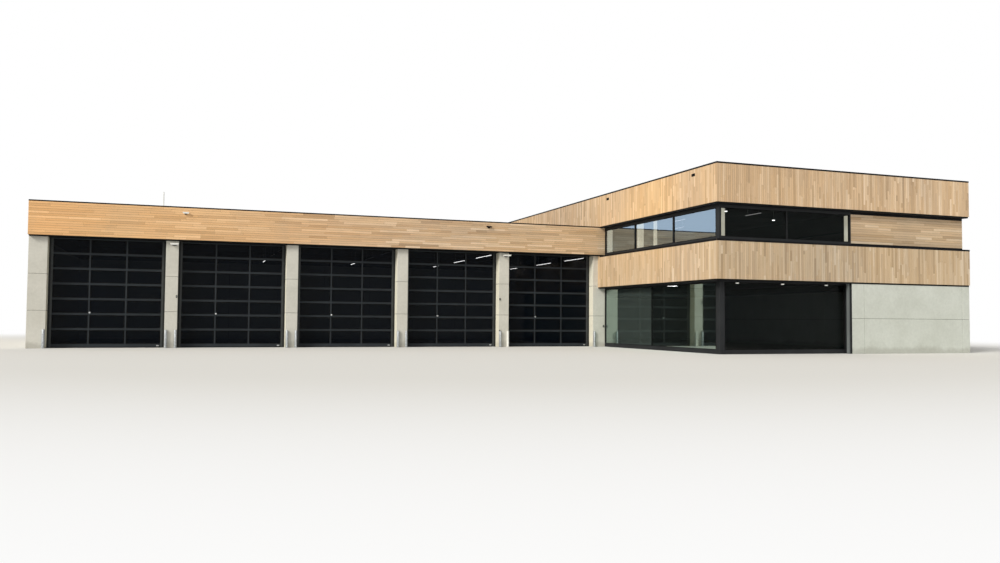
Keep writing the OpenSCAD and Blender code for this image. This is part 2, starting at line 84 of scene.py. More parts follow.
# Concrete panels
PANEL_T, PANEL_GAP, PANEL_CHAMFER = 0.012, 0.01, 0.006
PANEL_OUT, PANEL_CLEAR, END_PANEL_DROP = 0.006, 0.002, 0.005
PANEL_W = 2.9
PIER_CHAMFER = 0.008
FRONT_PANEL_CUTS, FRONT_PANEL_Z = (7.14, 12.47), 1.45

# Metal ledge on the lower band, lips under the copings, and the upstand beside the hall's roof
LEDGE_T = 0.004
LIP_H, LIP_OUT, LIP_CHAMFER = 0.07, 0.0145, 0.0005
COPING_LIP = 0.016
UPSTAND_OUT, UPSTAND_FROM_REAR, UPSTAND_DROP = 0.02, 0.36, 0.03

# Window frames, as in the CAD model
FRAME_W = 0.06
STRIP_FOOT, STRIP_HEAD, STRIP_POST_W = 0.14, 0.13, 0.09
SHOW_FOOT, SHOW_HEAD, SHOW_BACK = 0.18, 0.06, 0.35
LEFT_PANE_W, FRONT_PANE_W = 3.38, 3.17
GLASS_JOINT, GLASS_JOINT_FROM_FRONT = 0.01, 5.71
PLAIN_WINDOW_L, PLAIN_BACK = 6.6, 0.175
# the dark head of the recess is a trim and also painted shade under the top band
RECESS_FOOT, RECESS_HEAD = 0.075, 0.085
LINING_T, LINING_GAP = 0.02, 0.002

# Columns of the showroom: width and depth, and the plates at the steel one's foot and head
CORNER_COLUMN, STEEL_COLUMN = (0.16, 0.23), (0.1, 0.11)
PLATE_T, PLATE_LAP, PLATE_OUT = 0.014, 0.002, 0.004

# Panes and their beads, measured from the front of the frame
PANE_BACK, PANE_T, PANE_LEAN, PANE_EDGE = 0.032, 0.006, 0.0012, 0.004
BEAD_W, BEAD_LAP, BEAD_OUT = 0.012, 0.01, 0.0015

# Fittings of the doors. A turned profile lists (distance along the axis, radius), and a block
# of a fitting is (low corner, high corner, chamfer, slot) from the place of the fitting.
EDGE_W, EDGE_OUT, EDGE_FOOT, EDGE_CLEAR = 0.035, 0.006, 0.01, 0.003
CAP_W, CAP_OUT = 0.037, 0.01
LOCK_X, LOCK_Z = 1.56, 1.45
LOCK_PROFILE = ((0, 0.036), (0.006, 0.036), (0.009, 0.032), (0.009, 0.014), (0.016, 0.012))
BOLT_X, BOLT_Z = 4.2, 0.085
BOLT_PLATE = (((-0.05, -0.014, -0.022), (0.05, 0, 0.022), 0.004, 0),)
BOLT_PROFILE = ((0.014, 0.016), (0.036, 0.016), (0.042, 0.011))
SEAL_IN, SEAL_H, SEAL_T = 0.12, 0.03, 0.006

# Lamps on the piers and on the hall's fascia
PIER_LAMP_W, PIER_LAMP_Z = 0.34, 4.33
PIER_LAMP = (
    ((0, -0.34, 0.022), (0.34, -0.05, 0.06), 0.012, 0),
    ((0.02, -0.32, 0), (0.32, -0.07, 0.024), 0.004, 1),
    ((0.09, -0.06, -0.03), (0.25, 0, 0.08), 0.006, 2),
)
FLOOD_X, FLOOD_Z = (5.77, 19.29), 5.665
FLOOD_LAMP = (
    ((0.08, -0.03, -0.045), (0.18, 0, 0.045), 0.004, 2),
    ((0, -0.11, 0.012), (0.26, -0.025, 0.05), 0.008, 0),
    ((0.02, -0.1, -0.012), (0.24, -0.035, 0.014), 0.004, 1),
)

# Downlights in the soffit: each turned part is (profile, segments, slot)
DOWNLIGHT_X, DOWNLIGHT_BACK = (1.06, 3.21, 5.36), 0.21
DOWNLIGHT = (
    (((0, 0.045), (0.064, 0.045)), 24, 2),
    (((0.06, 0.06), (0.064, 0.067), (0.092, 0.069), (0.096, 0.065)), 32, 0),
    (((0.09, 0.058), (0.098, 0.057), (0.101, 0.05)), 32, 1),
)

# Line lamps inside: (x, y, length) upstairs, and (y, length) behind each pier of the hall
HALL_LINE_Z, HALL_LINE_IN, DIM_ROWS = 4.45, 0.545, (2, 3)
HALL_LINES = ((8.15, 1.55), (3.6, 2.1), (-0.45, 2.35))
UPPER_LINE_Z = 6.3
UPPER_LINES = ((11.73, -7.68, 1.2), (9.91, -4.19, 1.12), (11.75, -1.2, 0.85))
LINE_HALF_W, LINE_H, LINE_CHAMFER = 0.02, 0.025, 0.006
LENS_HALF_W, LENS_DROP, LENS_LAP, LENS_IN, LENS_CHAMFER = 0.016, 0.008, 0.002, 0.01, 0.003
ROD_R, ROD_AT, ROD_FROM, ROD_SEGMENTS = 0.006, 0.35, 0.015, 8

# Round lamps inside: profile of the shade, of the lens, segments, foot and radius of the rod
UPPER_SPOTS = ((14.1, -6.06), (9.92, -8.13))
SPOT = (((0, 0.09), (0.03, 0.09), (0.04, 0.07)), ((-0.01, 0.07), (0.006, 0.07)), 24, 0.035, ROD_R)
ROUND_PANELS, ROUND_PANEL_Z = ((8.0, -10.3), (9.17, -4.71)), 3.0
ROUND_PANEL = (((0, 0.28), (0.004, 0.3), (0.06, 0.3), (0.066, 0.27)),
               ((-0.01, 0.27), (0.004, 0.27), (0.006, 0.25)), 32, 0.06, 0.008)

# Guard posts, key switches as (pier, place from its left edge, height), overflow outlets and laps
POST_R, POST_IN, POST_SEAT, POST_SEGMENTS = 0.057, 0.06, 0.0003, 32
POST_PROFILE = ((0, 0.057), (0.74, 0.057), (0.752, 0.053), (0.759, 0.042), (0.76, 0.03))
KEY_SWITCHES = ((1, 0.455, 2.16), (4, 0.045, 2.27), (4, 0.045, 0.75), (5, 0.575, 1.01))
SWITCH = (((-0.03, -0.03, -0.05), (0.03, 0, 0.05), 0.006, 0),)
SWITCH_EYE = ((0.03, 0.014), (0.033, 0.014), (0.034, 0.01))
OUTLET_W, THROAT_IN, THROAT_OUT = 0.25, 0.01, 0.0135
LAP_PITCH, LAP_HALF_W, LAP_T, LAP_IN = 1.0, 0.05, 0.005, 0.02

# Floor and light
FLOOR_HALF, FLOOR_DROP, FLOOR_NEAR, FLOOR_FAR = 400.0, 0.001, 24.0, 44.0
SKY_STRENGTH = 0.5
KEY_STRENGTH, KEY_SPREAD, KEY_FROM = 2.9, 22.0, (-1.05, -0.55, 0.75)


def srgb(r, g, b):
    """A colour written as 0 to 255, as Blender's linear values."""
    return tuple(
        (c / 255 / 12.92) if c <= 10 else ((c / 255 + 0.055) / 1.055) ** 2.4 for c in (r, g, b)
    ) + (1.0,)


def add_object(name, data):
    """A new object, put in the scene."""
    made = bpy.data.objects.new(name, data)
    bpy.context.scene.collection.objects.link(made)
    return made


# Places from the CAD model

piers_lo, piers_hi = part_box("piers")
fascia_lo, fascia_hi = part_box("hall_fascia")
top_lo, top_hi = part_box("top_band_ends")
low_lo, low_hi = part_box("lower_band_ends")
divide_lo, divide_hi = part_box("dividing_wall")
hall_roof_lo, hall_roof_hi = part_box("hall_roof")
block_roof_lo, block_roof_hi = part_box("block_roof")
hall_x, glass_x = piers_lo.x, fascia_hi.x
block_x, right_x = top_lo.x, top_hi.x
front_y, rear_y = top_lo.y, top_hi.y
door_left = [hall_x + END_PIER_W + i * (DOOR_W + PIER_W) for i in range(DOOR_COUNT)]
pier_left = [hall_x, *(x + DOOR_W for x in door_left)]
block_w, depth = right_x - block_x, rear_y - front_y


# Materials


class Nodes:
    """Short calls for making one node material, or the nodes of the world."""

    def __init__(self, name, world=None):
        self.material = world or bpy.data.materials.new(name)
        self.material.use_nodes = True
        self.tree = self.material.node_tree
        self.shader = self.tree.nodes.get("Principled BSDF")

    def add(self, kind, inputs=None, **settings):
        made = self.tree.nodes.new("ShaderNode" + kind)
        for key, value in settings.items():
            setattr(made, key, value)
        for key, value in (inputs or {}).items():
            self.put(made, key, value)
        return made

    def put(self, made, key, value):
        if isinstance(value, bpy.types.NodeSocket):
            self.tree.links.new(value, made.inputs[key])
        else:
            made.inputs[key].default_value = value

    def set(self, **inputs):
        for key, value in inputs.items():
            self.put(self.shader, key.replace("_", " "), value)

    def stretch(self, where, scale):
        return self.add("Mapping", {"Vector": where, "Scale": scale}).outputs["Vector"]

    def place(self, scale=(1, 1, 1)):
        """Coordinates in metres on the object, stretched by scale."""
        return self.stretch(self.add("TexCoord").outputs["Object"], scale)

    def spot(self):
        """The place on the object, as three numbers."""
        return self.add("SeparateXYZ", {"Vector": self.place()}).outputs

    def noise(self, where, scale, detail=3.0, roughness=0.5):
        values = {"Vector": where, "Scale": scale, "Detail": detail, "Roughness": roughness}
        return self.add("TexNoise", values).outputs["Fac"]

    def ramp(self, fac, stops):
        made = self.add("ValToRGB", {"Fac": fac})
        spots = made.color_ramp.elements
        while len(spots) < len(stops):
            spots.new(0.5)
        for spot, (position, colour) in zip(spots, stops):
            spot.position = position
            spot.color = colour if hasattr(colour, "__len__") else (colour,) * 3 + (1,)
        return made.outputs["Color"]

    def mix(self, fac, a, b, blend="MIX"):
        made = self.add("Mix", data_type="RGBA", blend_type=blend)
        self.put(made, 0, fac)
        self.put(made, 6, a)
        self.put(made, 7, b)
        return made.outputs[2]

    def math(self, a, b, operation):
        return self.add("Math", {0: a, 1: b}, operation=operation).outputs[0]

    def fade(self, value, start, end, first=1.0, last=0.0, smooth=False):
        """Goes from first to last while the value goes from start to end."""
        ends = {"From Min": start, "From Max": end, "To Min": first, "To Max": last}
        kind = "SMOOTHSTEP" if smooth else "LINEAR"
        made = self.add("MapRange", {"Value": value, **ends}, interpolation_type=kind)
        return made.outputs["Result"]

    def span(self, fac, low, high):
        return self.fade(fac, 0.0, 1.0, low, high)

    def bump(self, height, strength, distance):
        values = {"Height": height, "Strength": strength, "Distance": distance}
        return self.add("Bump", values).outputs["Normal"]


def tint_by_place(n, board):
    """The colour of the boards with the tints that change from place to place, painted sunlight and
    painted shade among them.
    """
    spot = n.spot()
    # painted sunlight: warmer, brighter boards towards the left end of the hall's front
    near_front = n.fade(spot["Y"], fascia_lo.y, fascia_lo.y + SUNLIT_FADE, 1.0, SUNLIT_BACK)
    sunlit = n.math(n.fade(spot["X"], hall_x, SUNLIT_END), near_front, "MULTIPLY")
    board = n.mix(n.span(sunlit, 0.0, 0.4), board, srgb(222, 182, 134))
    board = n.mix(sunlit, board, SUNLIT_TINT, "MULTIPLY")
    # painted shade: greyer boards low on the block, most at its front
    on_block = n.math(spot["X"], block_x - BLOCK_MARGIN, "GREATER_THAN")
    low_shade = n.math(n.fade(spot["Z"], low_hi.z, top_lo.z), on_block, "MULTIPLY")
    in_front = n.fade(spot["Y"], front_y, front_y + LOW_SHADE_FADE, 1.0, LOW_SHADE_BACK)
    board = n.mix(n.math(low_shade, in_front, "MULTIPLY"), board, LOW_SHADE_TINT, "MULTIPLY")
    board = n.mix(n.fade(spot["X"], block_x, right_x, 0.0, 1.0), board, COOL_TINT, "MULTIPLY")
    # painted sunlight: a warm patch on the left face of the top band
    middle = (block_x, front_y + SUN_PATCH_BACK, SUN_PATCH_Z)
    away = n.add("VectorMath", {0: n.place(), 1: middle}, operation="DISTANCE").outputs["Value"]
    sun_patch = n.fade(away, SUN_PATCH_NEAR, SUN_PATCH_FAR, SUN_PATCH_SHARE, smooth=True)
    return n.mix(sun_patch, board, SUN_PATCH_TINT, "MULTIPLY")


def timber_material():
    """Clear finished boards: each has its own shade, with fibres, flames, broad weathering and broad
    patches of painted sunlight.
    """
    n = Nodes("timber_boards")
    shade = n.add("Attribute", attribute_name="shade").outputs["Fac"]
    warmth = n.add("Attribute", attribute_name="warmth").outputs["Fac"]
    along = n.add("UVMap", uv_map="grain").outputs["UV"]
    board = n.ramp(shade, (
        (0.0, srgb(170, 145, 119)),
        (0.3, srgb(197, 169, 140)),
        (0.7, srgb(216, 190, 160)),
        (1.0, srgb(234, 210, 182)),
    ))
    board = n.mix(n.span(warmth, 0.0, 0.32), board, srgb(222, 180, 130))
    fibres = n.noise(n.stretch(along, (1.3, 42, 1)), 1.0, 5.0, 0.65)
    flames = n.noise(n.stretch(along, (0.9, 9, 1)), 1.0, 2.0, 0.5)
    board = n.mix(1.0, board, n.ramp(fibres, ((0.25, 0.86), (0.6, 1.0), (0.8, 1.05))), "MULTIPLY")
    board = n.mix(1.0, board, n.ramp(flames, ((0.3, 0.92), (0.7, 1.04))), "MULTIPLY")
    board = tint_by_place(n, board)
    # painted sunlight: broad random patches of warmer, lighter boards
    glow = n.noise(n.place((1, 1, 0.6)), 0.16, 2.0, 0.5)
    board = n.mix(n.ramp(glow, ((0.42, 0.0), (0.66, 0.3))), board, srgb(238, 198, 142))
    weather = n.noise(n.place((1, 1, 0.45)), 0.7, 3.0, 0.6)
    board = n.mix(n.ramp(weather, ((0.5, 0.0), (0.75, 0.2))), board, srgb(176, 160, 138))
    n.set(Base_Color=board, Roughness=n.span(fibres, 0.6, 0.78), Specular_IOR_Level=0.3,
          Normal=n.bump(fibres, 0.35, 0.002))
    return n.material


def concrete_material(name, light, dark):
    """Concrete in two tones, with mottling, pores and a line of splashes above the ground."""
    n = Nodes(name)
    clouds = n.noise(n.place(), 0.9, 5.0, 0.6)
    mottle = n.noise(n.place(), 9.0, 4.0, 0.65)
    pores = n.add("TexVoronoi", {"Vector": n.place(), "Scale": 55.0}).outputs["Distance"]
    colour = n.mix(n.ramp(clouds, ((0.35, 0.0), (0.7, 1.0))), light, dark)
    colour = n.mix(1.0, colour, n.ramp(mottle, ((0.3, 0.94), (0.7, 1.04))), "MULTIPLY")
    colour = n.mix(1.0, colour, n.ramp(pores, ((0.03, 0.72), (0.1, 1.0))), "MULTIPLY")
    edge = n.math(n.spot()["Z"], n.span(clouds, -0.1, 0.35), "SUBTRACT")
    splash = n.ramp(edge, ((0.0, 0.3), (0.16, 0.0)))
    colour = n.mix(splash, colour, srgb(128, 124, 112))
    n.set(Base_Color=colour, Roughness=n.span(mottle, 0.72, 0.9), Specular_IOR_Level=0.3,
          Normal=n.bump(pores, 0.25, 0.003))
    return n.material


def metal_material(name, colour, roughness, metallic=0.0, dust=0.05, level=0.5, glow=0.0):
    """Painted or bare metal, in faint clouds, with a fine grain and a little pale dust."""
    n = Nodes(name)
    fine = n.noise(n.place(), 60.0, 3.0, 0.6)
    broad = n.noise(n.place(), 1.1, 3.0, 0.6)
    pale = tuple(min(1.0, c * 1.3 + 0.002) for c in colour[:3]) + (1.0,)
    toned = n.mix(n.ramp(broad, ((0.45, 0.0), (0.75, 1.0))), colour, pale)
    toned = n.mix(n.ramp(fine, ((0.55, 0.0), (0.8, dust))), toned, srgb(150, 146, 138))
    n.set(Base_Color=toned, Metallic=metallic, Specular_IOR_Level=level,
          Roughness=n.span(fine, roughness - 0.06, roughness + 0.1),
          Normal=n.bump(fine, 0.05, 0.001))
    if glow:
        n.set(Emission_Color=toned, Emission_Strength=glow)
    return n.material


def galvanised_material():
    """Zinc coated steel, with its spangle."""
    n = Nodes("galvanised")
    cells = n.add("TexVoronoi", {"Vector": n.place(), "Scale": 38.0}).outputs["Color"]
    spangle = n.add("SeparateXYZ", {"Vector": cells}).outputs["X"]
    colour = n.ramp(spangle, ((0.0, srgb(150, 154, 156)), (1.0, srgb(196, 200, 202))))
    n.set(Base_Color=colour, Metallic=0.85, Roughness=n.span(spangle, 0.36, 0.55),
          Normal=n.bump(spangle, 0.04, 0.001))
    return n.material


def glass_material(name, tint, alpha, level=0.5, metallic=0.0, ior=1.5):
    """Glass in one sheet: a tint, a coating that reflects, and faint waves in the surface."""
    n = Nodes(name)
    film = n.noise(n.place((1, 1, 0.3)), 1.4, 3.0, 0.6)
    n.set(Base_Color=tint, Alpha=alpha, IOR=ior, Specular_IOR_Level=level,
          Metallic=metallic, Roughness=n.span(film, 0.012, 0.04),
          Normal=n.bump(n.noise(n.place(), 0.55, 1.0, 0.4), 0.02, 0.05))
    return n.material


def glow_material(name, colour, strength):
    """The lens of a lamp, with faint ribs."""
    n = Nodes(name)
    ribs = n.noise(n.place(), 25.0, 2.0)
    n.set(Base_Color=colour, Emission_Color=n.ramp(ribs, ((0.0, 0.92), (1.0, 1.0))),
          Emission_Strength=strength, Roughness=0.4)
    return n.material


def roofing_material():
    """Dark roof membrane, with grit and the marks of dried pools."""
    n = Nodes("roofing")
    grit = n.noise(n.place(), 120.0, 2.0, 0.7)
    pools = n.noise(n.place(), 0.35, 4.0, 0.6)
    colour = n.ramp(pools, ((0.35, srgb(84, 86, 87)), (0.7, srgb(106, 107, 106))))
    colour = n.mix(1.0, colour, n.ramp(grit, ((0.3, 0.86), (0.7, 1.08))), "MULTIPLY")
    n.set(Base_Color=colour, Roughness=0.92, Specular_IOR_Level=0.2,
          Normal=n.bump(grit, 0.2, 0.002))
    return n.material


TIMBER = timber_material()
CONCRETE = concrete_material("concrete", srgb(213, 211, 202), srgb(200, 198, 188))
# painted sunlight: a paler, warmer concrete for the piers' faces across the doors
SUNLIT_SIDE_CONCRETE = concrete_material("concrete_painted_sunlight", srgb(235, 231, 212), srgb(225, 221, 203))
WALL_CONCRETE = concrete_material("wall_concrete", srgb(208, 212, 204), srgb(198, 202, 193))
FLOOR = concrete_material("floor_concrete", srgb(122, 122, 120), srgb(108, 108, 106))
INSIDE = concrete_material("inside_finish", srgb(98, 97, 94), srgb(88, 87, 84))
DARK_METAL = metal_material("dark_metal", srgb(15, 16, 18), 0.5, dust=0.03, level=0.1)
# partly painted shade: dark grey tracks, made darker still for the shade of the piers' reveals
TRACK_METAL = metal_material("track_metal", srgb(32, 34, 34), 0.5, level=0.2)
STRIP_METAL = metal_material("strip_metal", srgb(60, 63, 64), 0.4, level=0.25)
FRAME_METAL = metal_material("frame_metal", srgb(42, 47, 51), 0.45, dust=0.04, level=0.15)
WINDOW_METAL = metal_material("window_metal", srgb(36, 38, 40), 0.45, dust=0.04, level=0.15)
GREY_METAL = metal_material("grey_metal", srgb(104, 109, 109), 0.42, dust=0.12, level=0.3)
BACKING = metal_material("board_backing", srgb(44, 37, 30), 0.8, dust=0.12)
WHITE_PAINT = metal_material("white_paint", srgb(226, 226, 220), 0.4)
GLOW_PAINT = metal_material("lamp_shade", srgb(226, 226, 220), 0.4, glow=0.1)
# painted light: the cream paint glows as if lit from inside, though it is no lamp
GLOWING_CREAM_PAINT = metal_material("cream_paint_painted_glow", srgb(238, 234, 210), 0.5, glow=0.85)
RUBBER = metal_material("rubber_seal", srgb(14, 14, 15), 0.75, dust=0.03, level=0.1)
STEEL = metal_material("bright_steel", srgb(196, 198, 198), 0.28, metallic=0.9, dust=0.12)
GALVANISED = galvanised_material()
ROOFING = roofing_material()
DOOR_GLASS = glass_material("door_glass", srgb(6, 11, 18), 0.8, 0.06)
DARK_GLASS = glass_material("dark_glass", srgb(12, 18, 17), 0.55, 0.1)
SIDE_GLASS = glass_material("side_glass", srgb(172, 192, 184), 0.8, metallic=0.9)
SHADE_GLASS = glass_material("shade_glass", srgb(168, 186, 178), 0.8, metallic=0.98)
CLEAR_GLASS = glass_material("clear_glass", srgb(20, 24, 24), 0.08, 0.2, ior=1.3)
# painted reflection: a sky-blue tint on a mirror coating, so the white world reflects as blue sky
SKY_REFLECTION_GLASS = glass_material("glass_painted_sky_reflection", srgb(184, 211, 236), 0.62, metallic=1.0)
LENS = glow_material("lamp_lens", srgb(236, 236, 230), 0.25)
LIT_LENS = glow_material("lit_lens", srgb(255, 250, 238), 12.0)
SOFT_LENS = glow_material("soft_lens", srgb(255, 250, 238), 1.0)


# Mesh code

MOST_CHAMFER = 0.3  # share of a block's smallest side
SHARP_ANGLE = math.radians(35)


class Piece:
    """Collects blocks, boards and turned shapes, and makes them one mesh that rides on the part."""

    def __init__(self, name, slot, *materials):
        self.name, self.slot, self.materials = name, slot, materials
        self.points, self.faces, self.uvs = [], [], []
        self.shades, self.warmths, self.slots = [], [], []

    def face(self, corners, shade=0.5, warmth=0.5, uv=None, material=0):
        self.faces.append(corners)
        self.uvs.extend(uv or [(0.0, 0.0)] * len(corners))
        self.shades.append(shade)
        self.warmths.append(warmth)
        self.slots.append(material)

    def block(self, lo, hi, chamfer=0.004, material=0, ends=None):
        """A box with all its edges chamfered; ends has the slots of its two faces across X."""
        lo, hi = Vector(lo), Vector(hi)
        c = min(chamfer, MOST_CHAMFER * min(hi - lo))
        base = len(self.points)
        for z, dz in ((lo.z, 1), (hi.z, -1)):
            for y, dy in ((lo.y, 1), (hi.y, -1)):
                for x, dx in ((lo.x, 1), (hi.x, -1)):
                    self.points += [(x, y + dy * c, z + dz * c), (x + dx * c, y, z + dz * c),
                                    (x + dx * c, y + dy * c, z)]

        def at(corner, axis):
            return base + 3 * (corner[0] + 2 * corner[1] + 4 * corner[2]) + axis

        def turn(axis, e, a, b):
            corner = [0, 0, 0]
            corner[axis], corner[(axis + 1) % 3], corner[(axis + 2) % 3] = e, a, b
            return corner

        for axis in range(3):
            u, v = (axis + 1) % 3, (axis + 2) % 3
            for e in (0, 1):
                ring = [turn(axis, e, *ab) for ab in ((0, 0), (1, 0), (1, 1), (0, 1))]
                slot = material if ends is None or axis else ends[e]
                self.face([at(corner, axis) for corner in ring], material=slot)
            for ab in product((0, 1), repeat=2):
                p, q = turn(axis, 0, *ab), turn(axis, 1, *ab)
                self.face([at(p, u), at(q, u), at(q, v), at(p, v)], material=material)
        for corner in product((0, 1), repeat=3):
            self.face([at(corner, axis) for axis in range(3)], material=material)

    def fitting(self, at, blocks, slot=None):
        """Blocks placed from one point; slot, where given, takes the place of their own."""
        for lo, hi, chamfer, own in blocks:
            self.block(Vector(at) + Vector(lo), Vector(at) + Vector(hi), chamfer,
                       own if slot is None else slot)

    def board(self, wall, u0, u1, z0, z1, rng, upright):
        """One board on a wall, with a chamfered face and its own shade and grain."""
        base = len(self.points)
        c = BOARD_CHAMFER
        for inset, depth in ((0, 0), (0, BOARD_T - c), (c, BOARD_T)):
            for u, z in ((u0 + inset, z0 + inset), (u1 - inset, z0 + inset),
                         (u1 - inset, z1 - inset), (u0 + inset, z1 - inset)):
                self.points.append(wall.at(u, z, depth))
        spread = UPRIGHT_SPREAD if upright else LEVEL_SPREAD
        shade = min(1.0, max(0.0, rng.gauss(0.5, spread)))
        warmth = rng.random()
        du, dv = rng.uniform(0, GRAIN_SHIFT), rng.uniform(0, GRAIN_SHIFT)

        def uv(u, z):
            return (z + du, u + dv) if upright else (u + du, z + dv)

        square = [uv(u0, z0), uv(u1, z0), uv(u1, z1), uv(u0, z1)]
        self.face([base + i for i in (3, 2, 1, 0)], shade, warmth, square[::-1])
        for ring in (0, 4):
            for i in range(4):
                j = (i + 1) % 4
                quad = [base + ring + i, base + ring + j, base + ring + 4 + j, base + ring + 4 + i]
                self.face(quad, shade, warmth, [square[i], square[j], square[j], square[i]])
        self.face([base + 8 + i for i in range(4)], shade, warmth, square)

    def turned(self, centre, axis, profile, segments=24, material=0):
        """A shape turned round an axis: the profile lists (distance along the axis, radius)."""
        axis = Vector(axis).normalized()
        side = axis.orthogonal().normalized()
        other = axis.cross(side)
        base = len(self.points)
        for height, radius in profile:
            for k in range(segments):
                angle = 2 * math.pi * k / segments
                spoke = side * math.cos(angle) + other * math.sin(angle)
                self.points.append(tuple(Vector(centre) + axis * height + spoke * radius))
        for r in range(len(profile) - 1):
            for k in range(segments):
                j = (k + 1) % segments
                a, b = base + r * segments, base + (r + 1) * segments
                self.face([a + k, a + j, b + j, b + k], material=material)
        last = base + (len(profile) - 1) * segments
        self.face([base + k for k in range(segments)][::-1], material=material)
        self.face([last + k for k in range(segments)], material=material)

    def make(self, *replaced, smooth=False):
        """Makes the mesh object, with its faces turned outward, in place of the replaced nodes."""
        mesh = bpy.data.meshes.new(self.name)
        mesh.from_pydata([tuple(p) for p in self.points], [], self.faces)
        layer = mesh.uv_layers.new(name="grain")
        layer.data.foreach_set("uv", [c for uv in self.uvs for c in uv])
        for name, values in (("shade", self.shades), ("warmth", self.warmths)):
            mesh.attributes.new(name, "FLOAT", "FACE").data.foreach_set("value", values)
        for material in self.materials:
            mesh.materials.append(material)
        mesh.polygons.foreach_set("material_index", self.slots)
        if smooth:
            mesh.polygons.foreach_set("use_smooth", [True] * len(self.faces))
            mesh.set_sharp_from_angle(angle=SHARP_ANGLE)
        outward = bmesh.new()
        outward.from_mesh(mesh)
        bmesh.ops.recalc_face_normals(outward, faces=outward.faces)
        outward.to_mesh(mesh)
        outward.free()
        made = add_object(self.name, mesh)
        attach(made, "root")
        if replaced:
            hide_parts(*replaced)
        return made


class Wall:
    """An upright face: where it starts, the direction along it and the direction it faces."""

    def __init__(self, x, y, along, out):
        self.start, self.along, self.out = Vector((x, y, 0)), along, out

    def at(self, u, z, depth):
        return tuple(self.start + self.along * u + Z * z + self.out * depth)

    def reach(self, lo, hi):
        """Where a box starts and ends along the wall, and how thick it is across the wall."""
        ends = sorted(sum((p[k] - self.start[k]) * self.along[k] for k in range(3)) for p in (lo, hi))
        return *ends, abs(sum((hi[k] - lo[k]) * self.out[k] for k in range(3)))


HALL_FRONT = Wall(hall_x, fascia_lo.y, X, -Y)
HALL_LEFT = Wall(hall_x, rear_y, -Y, -X)
HALL_REAR = Wall(glass_x, rear_y, -X, Y)
BLOCK_FRONT = Wall(block_x, front_y, X, -Y)
BLOCK_LEFT = Wall(block_x, rear_y, -Y, -X)
BLOCK_RIGHT = Wall(right_x, front_y, Y, X)
BLOCK_REAR = Wall(right_x, rear_y, -X, Y)


def level_boards(piece, wall, u0, u1, z0, z1, rng):
    """Rows of level boards in mixed lengths."""
    rows = round((z1 - z0) / LEVEL_PITCH)
    pitch = (z1 - z0) / rows
    for row in range(rows):
        low = z0 + row * pitch + BOARD_GAP / 2
        u = u0
        length = rng.uniform(FIRST_BOARD, LONG_BOARD)
        while u < u1 - TINY:
            end = u + length
            if end > u1 - LAST_BOARD:
                end = u1
            piece.board(wall, u, end - BOARD_GAP / 2, low, low + pitch - BOARD_GAP, rng, False)
            u = end
            length = rng.uniform(SHORT_BOARD, LONG_BOARD)


def upright_boards(piece, wall, u0, u1, z0, z1, rng):
    """Upright boards side by side, most of them in lengths that meet at random heights."""
    count = round((u1 - u0) / UPRIGHT_PITCH)
    pitch = (u1 - u0) / count
    for k in range(count):
        left = u0 + k * pitch + UPRIGHT_GAP / 2
        right = left + pitch - UPRIGHT_GAP
        joints = range(rng.choice(JOINT_COUNTS))
        cuts = [z0, *sorted(z0 + rng.uniform(*JOINT_RANGE) * (z1 - z0) for _ in joints), z1]
        for low, high in zip(cuts, cuts[1:]):
            piece.board(wall, left, right, low, high - (END_GAP if high < z1 else 0), rng, True)


def wall_block(piece, wall, u0, u1, z0, z1, near, far, chamfer=0.003, material=0):
    """A chamfered block on a wall, between two depths outward from its face."""
    a, b = wall.at(u0, z0, near), wall.at(u1, z1, far)
    piece.block([min(p, q) for p, q in zip(a, b)], [max(p, q) for p, q in zip(a, b)],
                chamfer, material)


def evenly(a, b, step):
    """Cuts from a to b in equal parts of about one step."""
    count = max(1, round((b - a) / step))
    return [a + (b - a) * k / count for k in range(count + 1)]


def stretches(cuts, gap):
    """The stretches between cuts, half a gap short at each cut where two of them meet."""
    starts = [cuts[0]] + [cut + gap / 2 for cut in cuts[1:-1]]
    ends = [cut - gap / 2 for cut in cuts[1:-1]] + [cuts[-1]]
    return zip(starts, ends)


def panels(piece, wall, cuts_u, cuts_z, body_t):
    """A concrete wall: chamfered panels as thick as the wall, with dark seals in their joints."""
    wall_block(piece, wall, cuts_u[0] + PANEL_T, cuts_u[-1] - PANEL_T, cuts_z[0],
               cuts_z[-1] - PANEL_CLEAR, -body_t + PANEL_T, -PANEL_T, material=1)
    for u0, u1 in stretches(cuts_u, PANEL_GAP):
        for z0, z1 in stretches(cuts_z, PANEL_GAP):
            wall_block(piece, wall, u0, u1, z0, z1, -body_t, 0, PANEL_CHAMFER)


def pane(piece, wall, u0, u1, z0, z1, rng, slot):
    """A sheet of glass whose corners stand a little in or out, as real panes do."""
    base = len(piece.points)
    lean = [rng.uniform(-PANE_LEAN, PANE_LEAN) for _ in range(4)]
    for depth in (-PANE_BACK, -PANE_BACK - PANE_T):
        for (u, z), out in zip(((u0, z0), (u1, z0), (u1, z1), (u0, z1)), lean):
            piece.points.append(wall.at(u, z, depth + out))
    piece.face([base + k for k in (0, 1, 2, 3)], material=slot)
    for quad in ((7, 6, 5, 4), (0, 4, 5, 1), (1, 5, 6, 2), (2, 6, 7, 3), (3, 7, 4, 0)):
        piece.face([base + k for k in quad], material=1)


